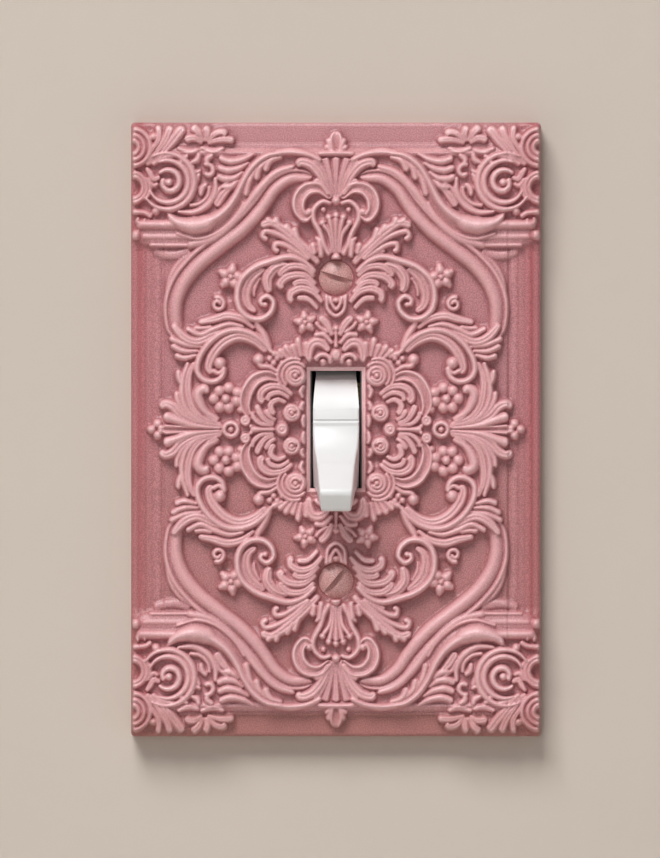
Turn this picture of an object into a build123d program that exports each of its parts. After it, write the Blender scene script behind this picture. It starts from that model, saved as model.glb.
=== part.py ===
"""Toggle switch with a carved single-gang wall plate, as an assembly of separate pieces.

Frame, in millimetres: +X to the right, +Y into the wall, +Z up. The wall surface is the plane y = 0,
where the plate's rim rests, and the origin is the centre of the toggle opening on that plane.
"""

import os
from math import cos, radians, sin, tan

from build123d import *

os.makedirs("parts", exist_ok=True)

# Plate
plate_width = 81.6
plate_height = 122.2
corner_radius = 0.8
edge_chamfer = 0.6
ground_depth = 4.8  # wall plane to the plain outer band of the face
panel_rise = 0.5
panel_width = 68.4
panel_height = 110.6
rim_width = 2.0
cavity_depth = 3.0
slot_width = 10.2
slot_height = 23.4
slot_bevel = 0.5
reed_radius = 0.55
reed_length = 72.0
reed_places = [35.6, 37.0, 38.4, 39.7]
front_depth = ground_depth + panel_rise

# Standard spacings of a single-gang device
plate_screw_z = 60.325 / 2
box_screw_z = 83.34 / 2

# Screws, 6-32 size
thread_radius = 1.72
thread_pitch = 0.794
neck_radius = 1.3
tapped_radius = 1.75
plate_hole_radius = 2.0
oval_head_radius = 3.43
countersink_radius = 3.6
countersink_angle = 82
screw_slot_width = 1.0
upper_slot_angle = -16
lower_slot_angle = 50

# Strap
strap_back = 0.2  # the strap hangs just clear of the wall plane
strap_thickness = 1.3
strap_front = strap_back + strap_thickness
strap_length = 106.4
strap_half_width = 14.3
ear_half_width = 16.8
ear_start = 38.5
rivet_x = 11.8
rivet_z = 21.0
rivet_radius = 1.2

# Switch body
body_width = 30.0
body_height = 52.0
cover_depth = 3.2
body_depth = 25.5
body_wall = 1.8
floor_y = 23.5
collar_depth = 2.4
collar_wall = 0.7
lever_gap_width = 9.6
lever_gap_height = 24.2
drum_clearance = 0.25
fit_gap = 0.05  # between a fastener and the hole it passes through

# Toggle lever, at rest pointing down
pivot_y = 6.0
rest_tilt = 30.0
drum_radius = 13.2
drum_end_angle = 94.0
pocket_radius = 11.6
pocket_half_width = 3.0
trunnion_radius = 1.5
trunnion_reach = 6.8
handle_profile = [(10.6, 7.6), (14.8, 4.5), (19.6, 3.45), (28.7, 2.45)]
handle_plan = [(-1.5, 4.0), (1.4, 4.0), (9.0, 4.6), (12.0, 4.6), (14.8, 4.35), (17.5, 3.95), (22.0, 3.6), (29.0, 3.4)]
handle_tip_radius = 1.2
foot_length = 4.4
foot_ball_radius = 1.6

# Rocking contact, at rest with its contact end open
fulcrum_y = 20.5
fulcrum_radius = 0.5
rocker_tilt = 7.0
groove_radius = 0.55
saddle_front = 2.6
rocker_ball_height = 3.4
rocker_ball_radius = 1.4
contact_z = 7.5

# Spring
coil_radius = 1.3
wire_radius = 0.25
coil_turns = 5

# Terminals
terminal_y = 11.5
terminal_z = 12.0
terminal_thickness = 1.0
terminal_screw_radius = 1.75
window_size = 9.4
wall_inside = body_width / 2 - body_wall
strip_front = 22.7

pivot = Vector(0, pivot_y, 0)
handle_direction = Vector(0, -cos(radians(rest_tilt)), -sin(radians(rest_tilt)))
handle_up = Vector(0, -sin(radians(rest_tilt)), cos(radians(rest_tilt)))
lever_side = Plane(origin=pivot, x_dir=handle_direction, z_dir=(-1, 0, 0))
lever_plan = Plane(origin=pivot, x_dir=handle_direction, z_dir=handle_up)
foot_centre = pivot - handle_direction * foot_length

rocker_normal = Vector(0, -cos(radians(rocker_tilt)), -sin(radians(rocker_tilt)))
rocker_plane = Plane(origin=(0, fulcrum_y, 0), x_dir=(1, 0, 0), z_dir=rocker_normal)
ball_centre = Vector(0, fulcrum_y, 0) + rocker_normal * rocker_ball_height


def save(piece, name):
    """Labels a finished piece and writes its STEP file."""
    piece.part.label = name
    export_step(piece.part, f"parts/{name}.step")


def thread(start, end, radius, pitch=thread_pitch, depth=0.4):
    """Radius and distance points of a thread drawn as rings, from start to end."""
    points = [(radius - depth, start)]
    turns = int((end - start) / pitch)
    for turn in range(turns):
        root = start + turn * pitch
        points.append((radius, root + 0.35 * pitch))
        points.append((radius, root + 0.65 * pitch))
        points.append((radius - depth, root + pitch))
    points.append((radius - depth, end))
    return points


# Wall plate: a hollow shell with a raised panel, reeded sides and a bevelled toggle slot
with BuildPart() as plate:
    with BuildSketch(Plane.XZ):
        RectangleRounded(plate_width, plate_height, corner_radius)
    extrude(amount=ground_depth)
    chamfer(plate.faces().sort_by(Axis.Y)[0].edges(), edge_chamfer)
    with BuildSketch(Plane.XZ.offset(ground_depth)):
        Rectangle(panel_width, panel_height)
    extrude(amount=panel_rise)
    with BuildSketch(Plane.XY.offset(-reed_length / 2)):
        for side in (-1, 1):
            with Locations(*[(side * place, -ground_depth) for place in reed_places]):
                Circle(reed_radius)
    extrude(amount=reed_length)
    with BuildSketch(Plane.XZ):
        Rectangle(plate_width - 2 * rim_width, plate_height - 2 * rim_width)
    extrude(amount=cavity_depth, mode=Mode.SUBTRACT)
    with BuildSketch(Plane.XZ.offset(strap_front + 0.1)):
        with GridLocations(0, 2 * plate_screw_z, 1, 2):
            Circle(4.5)
    extrude(amount=cavity_depth - strap_front)
    with BuildSketch(Plane.XZ):
        Rectangle(slot_width, slot_height)
    extrude(amount=2 * front_depth, mode=Mode.SUBTRACT)
    front_face = plate.faces().filter_by(Axis.Y).sort_by(Axis.Y)[0]
    slot_edges = [
        edge
        for wire in front_face.inner_wires()
        for edge in wire.edges()
        if abs(edge.center().Z) < slot_height
    ]
    chamfer(slot_edges, slot_bevel)
    with Locations(Plane.XZ.offset(front_depth)):
        with GridLocations(0, 2 * plate_screw_z, 1, 2):
            CounterSinkHole(plate_hole_radius, countersink_radius, counter_sink_angle=countersink_angle)
save(plate, "plate")

# Two oval-head screws that hold the plate to the strap
head_y = -front_depth + 0.15
cone_y = head_y + (oval_head_radius - thread_radius) / tan(radians(countersink_angle / 2))
with BuildPart() as plate_screws:
    for place, slot_angle in ((plate_screw_z, upper_slot_angle), (-plate_screw_z, lower_slot_angle)):
        with BuildSketch(Plane.XY.offset(place)):
            with BuildLine():
                dome = ThreePointArc((0, head_y - 1.1), (1.8, head_y - 0.8), (oval_head_radius, head_y))
                rings = thread(cone_y + 0.3, 8.0, thread_radius)
                Polyline(dome @ 1, (thread_radius, cone_y), *rings, (0.9, 8.5), (0, 8.5), dome @ 0)
            make_face()
        revolve(axis=Axis((0, 0, place), (0, 1, 0)))
        with BuildSketch(Plane.XZ.offset(-head_y - 0.1)):
            with Locations(Location((0, place), slot_angle)):
                Rectangle(3 * oval_head_radius, screw_slot_width)
        extrude(amount=3, mode=Mode.SUBTRACT)
save(plate_screws, "plate_screws")

# Mounting strap with plaster ears, and the ground tab folded back below the switch body
tab_y = 5.5
tab_z = -31.8
tab_height = 9.0
tab_end = 10.0
notch_z = 46.0
notch_radius = 1.6
strap_gap_width = lever_gap_width + 2 * collar_wall + 4 * fit_gap
strap_gap_height = lever_gap_height + 2 * collar_wall + 4 * fit_gap
with BuildPart() as strap:
    with BuildSketch(Plane.XZ.offset(strap_back)):
        Rectangle(2 * strap_half_width, 2 * ear_start)
        for side in (-1, 1):
            with Locations((0, side * (ear_start + strap_length / 2) / 2)):
                RectangleRounded(2 * ear_half_width, strap_length / 2 - ear_start, 3)
        Rectangle(2 * strap_half_width, strap_length - 10)
        Rectangle(strap_gap_width, strap_gap_height, mode=Mode.SUBTRACT)
        with GridLocations(2 * rivet_x, 2 * rivet_z, 2, 2):
            Circle(rivet_radius + fit_gap, mode=Mode.SUBTRACT)
        with GridLocations(0, 2 * plate_screw_z, 1, 2):
            Circle(tapped_radius, mode=Mode.SUBTRACT)
        with GridLocations(0, 2 * box_screw_z, 1, 2):
            SlotOverall(7.5, 4.2, mode=Mode.SUBTRACT)
        with GridLocations(2 * ear_half_width, 2 * notch_z, 2, 2):
            Circle(notch_radius, mode=Mode.SUBTRACT)
    extrude(amount=strap_thickness)
    with BuildSketch(Plane.YZ.offset(-strap_half_width)):
        with Locations(((tab_end - 1) / 2, tab_z)):
            Rectangle(tab_end + 1, tab_height)
        with Locations((tab_y, tab_z)):
            Circle(tapped_radius, mode=Mode.SUBTRACT)
    extrude(amount=strap_thickness)
save(strap, "strap")

# Four rivets that clamp strap, cover and base together
with BuildPart() as strap_rivets:
    with BuildSketch(Plane.XZ.offset(-body_depth)):
        with GridLocations(2 * rivet_x, 2 * rivet_z, 2, 2):
            Circle(rivet_radius)
    extrude(amount=body_depth + strap_front)
    for start, reach in ((strap_front, 0.7), (-body_depth - 0.7, 0.7)):
        with BuildSketch(Plane.XZ.offset(start)):
            with GridLocations(2 * rivet_x, 2 * rivet_z, 2, 2):
                Circle(2 * rivet_radius)
        extrude(amount=reach)
save(strap_rivets, "strap_rivets")

# Two screws that hold the strap to a wall box
stud_start = 1.1
stud_end = 24.0
with BuildPart() as box_screws:
    for place in (-box_screw_z, box_screw_z):
        with BuildSketch(Plane.XY.offset(place)):
            with BuildLine():
                Polyline(
                    (0, -strap_front - 1.3),
                    (2.6, -strap_front - 1.3),
                    (3.3, -strap_front - 0.8),
                    (3.3, -strap_front),
                    (neck_radius, -strap_front),
                    (neck_radius, stud_start),
                    (thread_radius, stud_start),
                    (thread_radius, stud_end),
                    (1.0, stud_end + 0.7),
                    (0, stud_end + 0.7),
                    close=True,
                )
            make_face()
        revolve(axis=Axis((0, 0, place), (0, 1, 0)))
        with BuildSketch(Plane.XZ.offset(strap_front + 0.6)):
            with Locations(Location((0, place), 20)):
                Rectangle(8, screw_slot_width)
        extrude(amount=2, mode=Mode.SUBTRACT)
save(box_screws, "box_screws")

# Fibre squares that keep the box screws in the strap
with BuildPart() as screw_retainers:
    with BuildSketch(Plane.XZ.offset(strap_back)):
        with GridLocations(0, 2 * box_screw_z, 1, 2):
            Rectangle(8, 8)
            Circle(neck_radius + fit_gap, mode=Mode.SUBTRACT)
    extrude(amount=-0.8)
save(screw_retainers, "screw_retainers")

# Ground screw, through the strap's folded tab from the left
with BuildPart() as ground_screw:
    with BuildSketch(Plane.XY.offset(tab_z)):
        with BuildLine():
            rings = [
                (-distance, tab_y + radius)
                for radius, distance in thread(strap_half_width - 7.9, strap_half_width, thread_radius)
            ]
            head = [(-strap_half_width, tab_y + 3.6), (-strap_half_width - 1.3, tab_y + 3.6)]
            Polyline((rings[0][0], tab_y), *rings, *head, (-strap_half_width - 2, tab_y + 2.6),
                     (-strap_half_width - 2, tab_y), close=True)
        make_face()
    revolve(axis=Axis((0, tab_y, tab_z), (1, 0, 0)))
    with BuildSketch(Plane.YZ.offset(-strap_half_width - 3)):
        with Locations(Location((tab_y, tab_z), 35)):
            Rectangle(8, screw_slot_width)
    extrude(amount=1.9, mode=Mode.SUBTRACT)
save(ground_screw, "ground_screw")

# Front cover of the switch body, with the collar round the lever and two snap-in bearings
lug_inside = 5.0
lug_outside = 7.4
lug_end = 9.0
lug_height = 6.0
with BuildPart() as switch_cover:
    with BuildSketch(Plane.XZ.offset(-cover_depth)):
        RectangleRounded(body_width, body_height, 2)
    extrude(amount=cover_depth + strap_back)
    with BuildSketch(Plane.XZ.offset(strap_back)):
        Rectangle(lever_gap_width + 2 * collar_wall, lever_gap_height + 2 * collar_wall)
    extrude(amount=collar_depth)
    with BuildSketch(Plane.XZ.offset(-cover_depth)):
        Rectangle(lever_gap_width, lever_gap_height)
    extrude(amount=cover_depth + 2 * collar_depth, mode=Mode.SUBTRACT)
    with BuildSketch(Plane.YZ.offset(-lever_gap_width / 2)):
        with Locations((pivot_y, 0)):
            Circle(drum_radius + drum_clearance)
    extrude(amount=lever_gap_width, mode=Mode.SUBTRACT)
    with BuildSketch(Plane.XZ.offset(-cover_depth)):
        with GridLocations(2 * rivet_x, 2 * rivet_z, 2, 2):
            Circle(rivet_radius + fit_gap)
    extrude(amount=cover_depth + strap_back, mode=Mode.SUBTRACT)
    for side in (-1, 1):
        with BuildSketch(Plane.YZ.offset(side * lug_inside)):
            with Locations(((cover_depth + lug_end) / 2, 0)):
                Rectangle(lug_end - cover_depth, lug_height)
            with Locations((pivot_y, 0)):
                Circle(trunnion_radius + fit_gap, mode=Mode.SUBTRACT)
            with Locations((pivot_y + 2.5, 0)):
                Rectangle(5, 2 * trunnion_radius - 0.4, mode=Mode.SUBTRACT)
        extrude(amount=side * (lug_outside - lug_inside))
save(switch_cover, "switch_cover")

# Base of the switch body: an open box with rivet posts, terminal windows and guides for the rocker
with BuildPart() as switch_base:
    with BuildSketch(Plane.XZ.offset(-body_depth)):
        RectangleRounded(body_width, body_height, 2)
    extrude(amount=body_depth - cover_depth)
    with BuildSketch(Plane.XZ.offset(-floor_y)):
        RectangleRounded(body_width - 2 * body_wall, body_height - 2 * body_wall, 1)
    extrude(amount=floor_y - cover_depth, mode=Mode.SUBTRACT)
    with BuildSketch(Plane.XZ.offset(-floor_y)):
        with GridLocations(2 * rivet_x, 2 * rivet_z, 2, 2):
            Circle(2.4)
    extrude(amount=floor_y - cover_depth)
    with BuildSketch(Plane.XZ.offset(-floor_y)):
        with GridLocations(8.6, 0, 2, 1):
            Rectangle(1.2, 8)
    extrude(amount=7)
    with BuildSketch(Plane.XZ.offset(-floor_y)):
        with Locations((4, 0)):
            Rectangle(4, 5.2)
    extrude(amount=floor_y - strip_front + 0.1, mode=Mode.SUBTRACT)
    with BuildSketch(Plane.XZ.offset(-body_depth)):
        with GridLocations(2 * rivet_x, 2 * rivet_z, 2, 2):
            Circle(rivet_radius + fit_gap)
    extrude(amount=body_depth - cover_depth, mode=Mode.SUBTRACT)
    with BuildSketch(Plane.YZ.offset(body_width / 2)):
        with Locations((terminal_y, terminal_z), (terminal_y, -terminal_z)):
            Rectangle(window_size, window_size)
    extrude(amount=-body_wall, mode=Mode.SUBTRACT)
save(switch_base, "switch_base")

# Toggle lever: a hollow drum with a tapered handle, two trunnions and a ball foot for the spring
upper_edge = [(0, handle_profile[0][1])] + handle_profile
lower_edge = [(along, -across) for along, across in reversed(upper_edge)]
right_edge = handle_plan
left_edge = [(along, -across) for along, across in reversed(handle_plan)]
with BuildPart() as toggle_lever:
    with BuildSketch(lever_side) as side:
        Circle(drum_radius)
        with Locations((-drum_radius + drum_radius * cos(radians(drum_end_angle)), 0)):
            Rectangle(2 * drum_radius, 2 * drum_radius + 1, mode=Mode.SUBTRACT)
        Polygon(*upper_edge, *lower_edge, align=None)
        fillet(side.vertices().sort_by(Axis.X)[-2:], handle_tip_radius)
    extrude(amount=5, both=True)
    with BuildSketch(lever_plan.offset(-drum_radius - 1)) as plan:
        Polygon(*right_edge, *left_edge, align=None)
        fillet(plan.vertices().sort_by(Axis.X)[-2:], 1.0)
    extrude(amount=2 * drum_radius + 2, mode=Mode.INTERSECT)
    with BuildSketch(lever_side):
        Circle(pocket_radius)
    extrude(amount=pocket_half_width, both=True, mode=Mode.SUBTRACT)
    with BuildSketch(lever_side):
        Circle(2.6)
    extrude(amount=4.0, both=True)
    with BuildSketch(lever_side):
        Circle(trunnion_radius)
    extrude(amount=trunnion_reach, both=True)
    with BuildSketch(Plane(origin=pivot, z_dir=-handle_direction)):
        Circle(1.3)
    extrude(amount=foot_length)
    with Locations(foot_centre):
        Sphere(foot_ball_radius)
save(toggle_lever, "toggle_lever")

# Coil spring between the lever's foot ball and the rocker's ball
spring_axis = (ball_centre - foot_centre).normalized()
foot_seat = ((foot_ball_radius + wire_radius) ** 2 - coil_radius**2) ** 0.5 + 0.03
ball_seat = ((rocker_ball_radius + wire_radius) ** 2 - coil_radius**2) ** 0.5 + 0.03
spring_length = (ball_centre - foot_centre).length - foot_seat - ball_seat
coil_start = foot_centre + spring_axis * foot_seat
with BuildPart() as toggle_spring:
    with BuildLine():
        coil = Helix(
            pitch=spring_length / coil_turns,
            height=spring_length,
            radius=coil_radius,
            center=coil_start,
            direction=spring_axis,
        )
    with BuildSketch(Plane(origin=coil @ 0, z_dir=coil % 0)):
        Circle(wire_radius)
    sweep(path=coil, is_frenet=True)
save(toggle_spring, "toggle_spring")

# Rocker saddle that carries the moving contact and takes the spring's push on its ball
with BuildPart() as contact_rocker:
    with BuildSketch(rocker_plane.offset(1.1)):
        Rectangle(6.8, 10)
    extrude(amount=saddle_front - 1.1)
    with BuildSketch(rocker_plane.offset(0.4)):
        with GridLocations(6.0, 0, 2, 1):
            Rectangle(0.8, 10)
    extrude(amount=0.7)
    with BuildSketch(rocker_plane.offset(saddle_front)):
        Circle(0.9)
    extrude(amount=rocker_ball_height - saddle_front)
    with Locations(ball_centre):
        Sphere(rocker_ball_radius)
save(contact_rocker, "contact_rocker")

# Moving contact bar with the groove that rocks on the fulcrum
with BuildPart() as moving_contact:
    with BuildSketch(rocker_plane.offset(0.1)):
        with Locations((0, 0.5)):
            Rectangle(5.0, 17.5)
    extrude(amount=1.0)
    with BuildSketch(Plane.YZ.offset(-3)):
        with Locations((fulcrum_y, 0)):
            Circle(groove_radius)
    extrude(amount=6, mode=Mode.SUBTRACT)
save(moving_contact, "moving_contact")

with BuildPart() as moving_contact_tip:
    with BuildSketch(rocker_plane.offset(-0.5)):
        with Locations((0, contact_z)):
            Circle(1.6)
    extrude(amount=0.6)
save(moving_contact_tip, "moving_contact_tip")

with BuildPart() as fixed_contact_tip:
    with BuildSketch(Plane.XZ.offset(-strip_front)):
        with Locations((0, contact_z)):
            Circle(1.2)
    extrude(amount=0.6)
save(fixed_contact_tip, "fixed_contact_tip")

# Line terminal: screw plate at the right wall, strip along the floor, and the fulcrum ridge
screw_plate_height = 11.0
with BuildPart() as line_terminal:
    with BuildSketch(Plane.YZ.offset(wall_inside)):
        with Locations((terminal_y, -terminal_z)):
            Rectangle(screw_plate_height, screw_plate_height)
        with Locations(((terminal_y + floor_y) / 2, -terminal_z)):
            Rectangle(floor_y - terminal_y, 4)
        with Locations((terminal_y, -terminal_z)):
            Circle(terminal_screw_radius + 0.03, mode=Mode.SUBTRACT)
    extrude(amount=-terminal_thickness)
    with BuildSketch(Plane.XZ.offset(-floor_y)):
        with Locations((wall_inside - 2.5, -6)):
            Rectangle(5, 16)
        with Locations(((wall_inside - 3) / 2, 0)):
            Rectangle(wall_inside + 3, 5)
    extrude(amount=floor_y - strip_front)
    with BuildSketch(Plane.YZ.offset(-2.5)):
        with Locations((fulcrum_y, 0)):
            Circle(fulcrum_radius)
        with Locations(((fulcrum_y + strip_front) / 2, 0)):
            Rectangle(strip_front - fulcrum_y, 0.7)
    extrude(amount=5)
save(line_terminal, "line_terminal")

# Load terminal: screw plate at the right wall and the strip under the fixed contact
with BuildPart() as load_terminal:
    with BuildSketch(Plane.YZ.offset(wall_inside)):
        with Locations((terminal_y, terminal_z)):
            Rectangle(screw_plate_height, screw_plate_height)
        with Locations(((terminal_y + floor_y) / 2, terminal_z)):
            Rectangle(floor_y - terminal_y, 4)
        with Locations((terminal_y, terminal_z)):
            Circle(terminal_screw_radius + 0.03, mode=Mode.SUBTRACT)
    extrude(amount=-terminal_thickness)
    with BuildSketch(Plane.XZ.offset(-floor_y)):
        with Locations((wall_inside - 2.5, 10)):
            Rectangle(5, 8)
        with Locations(((wall_inside - 2.5) / 2, contact_z)):
            Rectangle(wall_inside + 2.5, 4)
    extrude(amount=floor_y - strip_front)
save(load_terminal, "load_terminal")

# Square clamp plates and screws at the two terminals
clamp_thickness = 1.0
with BuildPart() as terminal_clamps:
    with BuildSketch(Plane.YZ.offset(wall_inside)):
        with Locations((terminal_y, terminal_z), (terminal_y, -terminal_z)):
            Rectangle(8, 8)
            Circle(terminal_screw_radius + 0.15, mode=Mode.SUBTRACT)
    extrude(amount=clamp_thickness)
save(terminal_clamps, "terminal_clamps")

head_x = wall_inside + clamp_thickness
with BuildPart() as terminal_screws:
    for place, slot_angle in ((terminal_z, 25), (-terminal_z, 70)):
        with BuildSketch(Plane.XY.offset(place)):
            with BuildLine():
                rings = [
                    (distance, terminal_y + radius)
                    for radius, distance in thread(head_x - 5.6, head_x, terminal_screw_radius)
                ]
                Polyline((rings[0][0], terminal_y), *rings, (head_x, terminal_y + 3.5),
                         (head_x + 1.3, terminal_y + 3.5), (head_x + 1.9, terminal_y + 2.6),
                         (head_x + 1.9, terminal_y), close=True)
            make_face()
        revolve(axis=Axis((0, terminal_y, place), (1, 0, 0)))
        with BuildSketch(Plane.YZ.offset(head_x + 0.9)):
            with Locations(Location((terminal_y, place), slot_angle)):
                Rectangle(8, screw_slot_width)
        extrude(amount=2, mode=Mode.SUBTRACT)
save(terminal_screws, "terminal_screws")

# Rubber pad that quiets the rocker's open position
with BuildPart() as rocker_bumper:
    with BuildSketch(Plane.XZ.offset(-floor_y)):
        with Locations((0, -contact_z)):
            Rectangle(4.8, 2)
    extrude(amount=floor_y - 21.5)
save(rocker_bumper, "rocker_bumper")
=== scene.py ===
"""Looks for the carved toggle wall plate. Relief sizes are in millimetres, everything else in metres.

The carving is a height field. One quarter of it, right of and above the plate's centre, is drawn stroke by
stroke and mirrored to the whole plate.
"""

import math

import bmesh
import bpy
import numpy as np
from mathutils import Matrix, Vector


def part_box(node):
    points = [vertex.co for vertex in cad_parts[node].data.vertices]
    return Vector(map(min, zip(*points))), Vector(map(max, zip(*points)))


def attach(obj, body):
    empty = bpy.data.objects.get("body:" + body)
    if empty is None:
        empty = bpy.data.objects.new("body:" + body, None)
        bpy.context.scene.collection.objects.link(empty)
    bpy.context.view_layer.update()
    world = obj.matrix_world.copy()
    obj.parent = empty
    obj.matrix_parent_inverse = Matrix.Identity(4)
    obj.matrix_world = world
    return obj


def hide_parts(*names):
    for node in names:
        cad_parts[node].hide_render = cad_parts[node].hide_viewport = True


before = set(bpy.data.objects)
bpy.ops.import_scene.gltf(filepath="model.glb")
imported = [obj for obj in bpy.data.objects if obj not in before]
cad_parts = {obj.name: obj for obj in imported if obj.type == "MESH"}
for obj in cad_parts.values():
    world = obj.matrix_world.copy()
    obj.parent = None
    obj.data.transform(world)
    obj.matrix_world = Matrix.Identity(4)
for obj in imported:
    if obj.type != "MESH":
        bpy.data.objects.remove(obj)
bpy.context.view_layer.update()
MM = 0.001

# ---------------------------------------------------------------- the plate's own sizes, in mm

plate_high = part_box("plate")[1]
PLATE_X, PLATE_Z = round(plate_high.x / MM, 3), round(plate_high.z / MM, 3)
SCREW_Z = 0.5 * 60.325
PANEL, BORDER = 5.3, 4.8                # depths of the panel and of the plain outer band, from the wall plane
SLOT_X, SLOT_Z, BEVEL = 5.1, 11.7, 0.5  # half opening, and its bevel
RIM, CAVITY = 2.0, 3.0                  # width of the back rim, and depth of the hollow's floor
HOLE, SINK = 2.0, 3.6                   # radii of the screw hole and of the seat's mouth
SINK_SLOPE = math.tan(math.radians(41))
BOSS, BOSS_END = 4.5, 1.6               # radius of a screw boss, and its end's depth
CORNER = 0.8
EDGE_ROUND = 0.8
STEP = 0.16                             # spacing of the relief's grid

# ---------------------------------------------------------------- drawing tools: a quarter of the relief

PLUMP = 1.3      # how much fuller strokes are than their drawn widths
REACH_MARGIN = 0.3


def ticks(*stops):
    """Grid lines that fall exactly on each stop, at most STEP apart between them."""
    lines = [stops[0]]
    for a, b in zip(stops, stops[1:]):
        n = max(1, math.ceil((b - a) / STEP - 1e-6))
        lines += list(a + (b - a) * (np.arange(n) + 1) / n)
    return np.array(lines)


XS = ticks(0, SLOT_X, SLOT_X + BEVEL, PLATE_X)
ZS = ticks(0, SLOT_Z, SLOT_Z + BEVEL, PLATE_Z)
QX, QZ = np.meshgrid(XS, ZS, indexing="ij")
relief = np.zeros_like(QX)


def smooth(points, per_span=9):
    """A Catmull-Rom curve through the points."""
    p = np.array(points, float)
    p = np.vstack([2 * p[0] - p[1], p, 2 * p[-1] - p[-2]])
    t = np.linspace(0, 1, per_span, endpoint=False)[:, None]
    spans = []
    for a, b, c, d in zip(p, p[1:], p[2:], p[3:]):
        spans.append(0.5 * (2 * b + (c - a) * t + (2 * a - 5 * b + 4 * c - d) * t**2
                            + (3 * b - a - 3 * c + d) * t**3))
    return np.vstack(spans + [p[-2:-1]])


def arc(x, z, radius, start, end, last=None, n=8):
    """Points round (x, z) from one angle to another in degrees, with the radius going to last."""
    last = radius if last is None else last
    turn = np.radians(np.linspace(start, end, n))
    reach = np.linspace(radius, last, n)
    return [(x + r * math.cos(a), z + r * math.sin(a)) for r, a in zip(reach, turn)]


def dome(s):
    return np.clip(1 - s * s, 0, 1) ** 0.6


def fluted(count, depth=0.35):
    """A dome cut by evenly spaced grooves, with count ridges across it."""
    def profile(s):
        wave = 0.5 - 0.5 * np.cos(math.pi * count * (s + 1))
        return dome(s) * (1 - 0.6 * depth + 0.6 * depth * np.sqrt(wave))
    return profile


def hollow(s):
    """A gutter with raised, rounded edges."""
    e = np.abs(s)
    rim = np.exp(-(((e - 0.66) / 0.26) ** 2))
    return dome(e**3) * (0.45 + 0.55 * rim)


def lip(s):
    """A leaf with one thick rolled edge, on the left of its path, falling to a thin right edge."""
    roll = np.exp(-(((s - 0.4) / 0.5) ** 2))
    return dome(s**3) * (0.25 + 0.75 * roll)


def lip_right(s):
    """The same leaf with its rolled edge on the right."""
    return lip(-s)


def band(s):
    """A broad rounded ridge with a narrow one beside it, on the left of the path."""
    return np.maximum(dome((s + 0.28) / 0.72), 0.85 * dome((s - 0.72) / 0.28))


def near(path, reach):
    """The part of the grid within reach of a path."""
    lo, hi = path.min(0) - reach, path.max(0) + reach
    i0, i1 = np.searchsorted(XS, [lo[0], hi[0]])
    k0, k1 = np.searchsorted(ZS, [lo[1], hi[1]])
    return slice(i0, i1), slice(k0, k1)


def stroke(points, width, height, profile=dome, ends=(0.5, 0.5), curve=True):
    """Raises the relief along a path. width and height may be lists that are spread along it."""
    path = smooth(points) if curve else np.array(points, float)
    steps = np.hypot(*np.diff(path, axis=0).T)
    along = np.concatenate([[0], np.cumsum(steps)])
    total = along[-1]
    widths = PLUMP * np.atleast_1d(width).astype(float)
    heights = np.atleast_1d(height).astype(float)
    area = near(path, widths.max() + REACH_MARGIN)
    px, pz = QX[area], QZ[area]
    if not px.size:
        return
    best = np.full(px.shape, 1e9)
    signed = np.zeros(px.shape)
    at = np.zeros(px.shape)
    for (ax, az), (bx, bz), s0, length in zip(path, path[1:], along, steps):
        if length < 1e-9:
            continue
        ux, uz = (bx - ax) / length, (bz - az) / length
        t = np.clip((px - ax) * ux + (pz - az) * uz, 0, length)
        dx, dz = px - ax - ux * t, pz - az - uz * t
        d = dx * dx + dz * dz
        closer = d < best
        best = np.where(closer, d, best)
        signed = np.where(closer, np.sign(ux * dz - uz * dx), signed)
        at = np.where(closer, s0 + t, at)
    u = at / total
    w = np.interp(u, np.linspace(0, 1, len(widths)), widths)
    h = np.interp(u, np.linspace(0, 1, len(heights)), heights)
    for e, from_end in zip(ends, (at, total - at)):
        if e > 0:
            k = np.clip(from_end / (e * widths.max()), 0, 1)
            w = w * np.sqrt(np.clip(k * (2 - k), 0, 1)) + 1e-6
    s = np.sqrt(best) / w * np.where(signed == 0, 1, signed)
    raised = np.where(np.abs(s) < 1, h * profile(np.clip(s, -1, 1)), 0)
    relief[area] = np.maximum(relief[area], raised)


def bead(x, z, r, height=None, flat=1.0):
    """A round knob."""
    height = 0.9 * r if height is None else height
    area = near(np.array([[x, z]]), r)
    d = np.hypot(QX[area] - x, (QZ[area] - z) / flat) / r
    relief[area] = np.maximum(relief[area], height * np.sqrt(np.clip(1 - d * d, 0, 1)))


def ring(x, z, r, width, height):
    stroke(arc(x, z, r, 0, 360, n=25), width, height, ends=(0, 0), curve=False)


def rose(x, z, r, height=1.5):
    """Two rings of petals round a bead, each a little off centre."""
    bead(x, z, r, 0.55 * height)
    ring(x, z, r * 0.8, r * 0.22, 0.9 * height)
    stroke(arc(x, z, r * 0.52, 200, 520, r * 0.4, n=20), r * 0.17, height, ends=(0.4, 0.4), curve=False)
    bead(x, z, r * 0.3, 1.15 * height)


def flower(x, z, r, petals=5, turn=90, height=1.4):
    """Plump round petals about a small bead, with a crease between neighbours."""
    for a in np.radians(turn + 360 / petals * np.arange(petals)):
        bead(x + 0.56 * r * math.cos(a), z + 0.56 * r * math.sin(a), 0.42 * r, 1.15 * height)
        bead(x + 0.85 * r * math.cos(a), z + 0.85 * r * math.sin(a), 0.28 * r, 0.95 * height)
    bead(x, z, 0.24 * r, 1.25 * height)


def line(a, b, width, height):
    """A straight moulding with square ends."""
    stroke([a, b], width, height, ends=(0, 0), curve=False)


def tube(points, width, height, ends=(0.6, 0.6)):
    """A plain rounded ridge, the line that most of the scrollwork is drawn with."""
    stroke(points, width, height, dome, ends)


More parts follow.
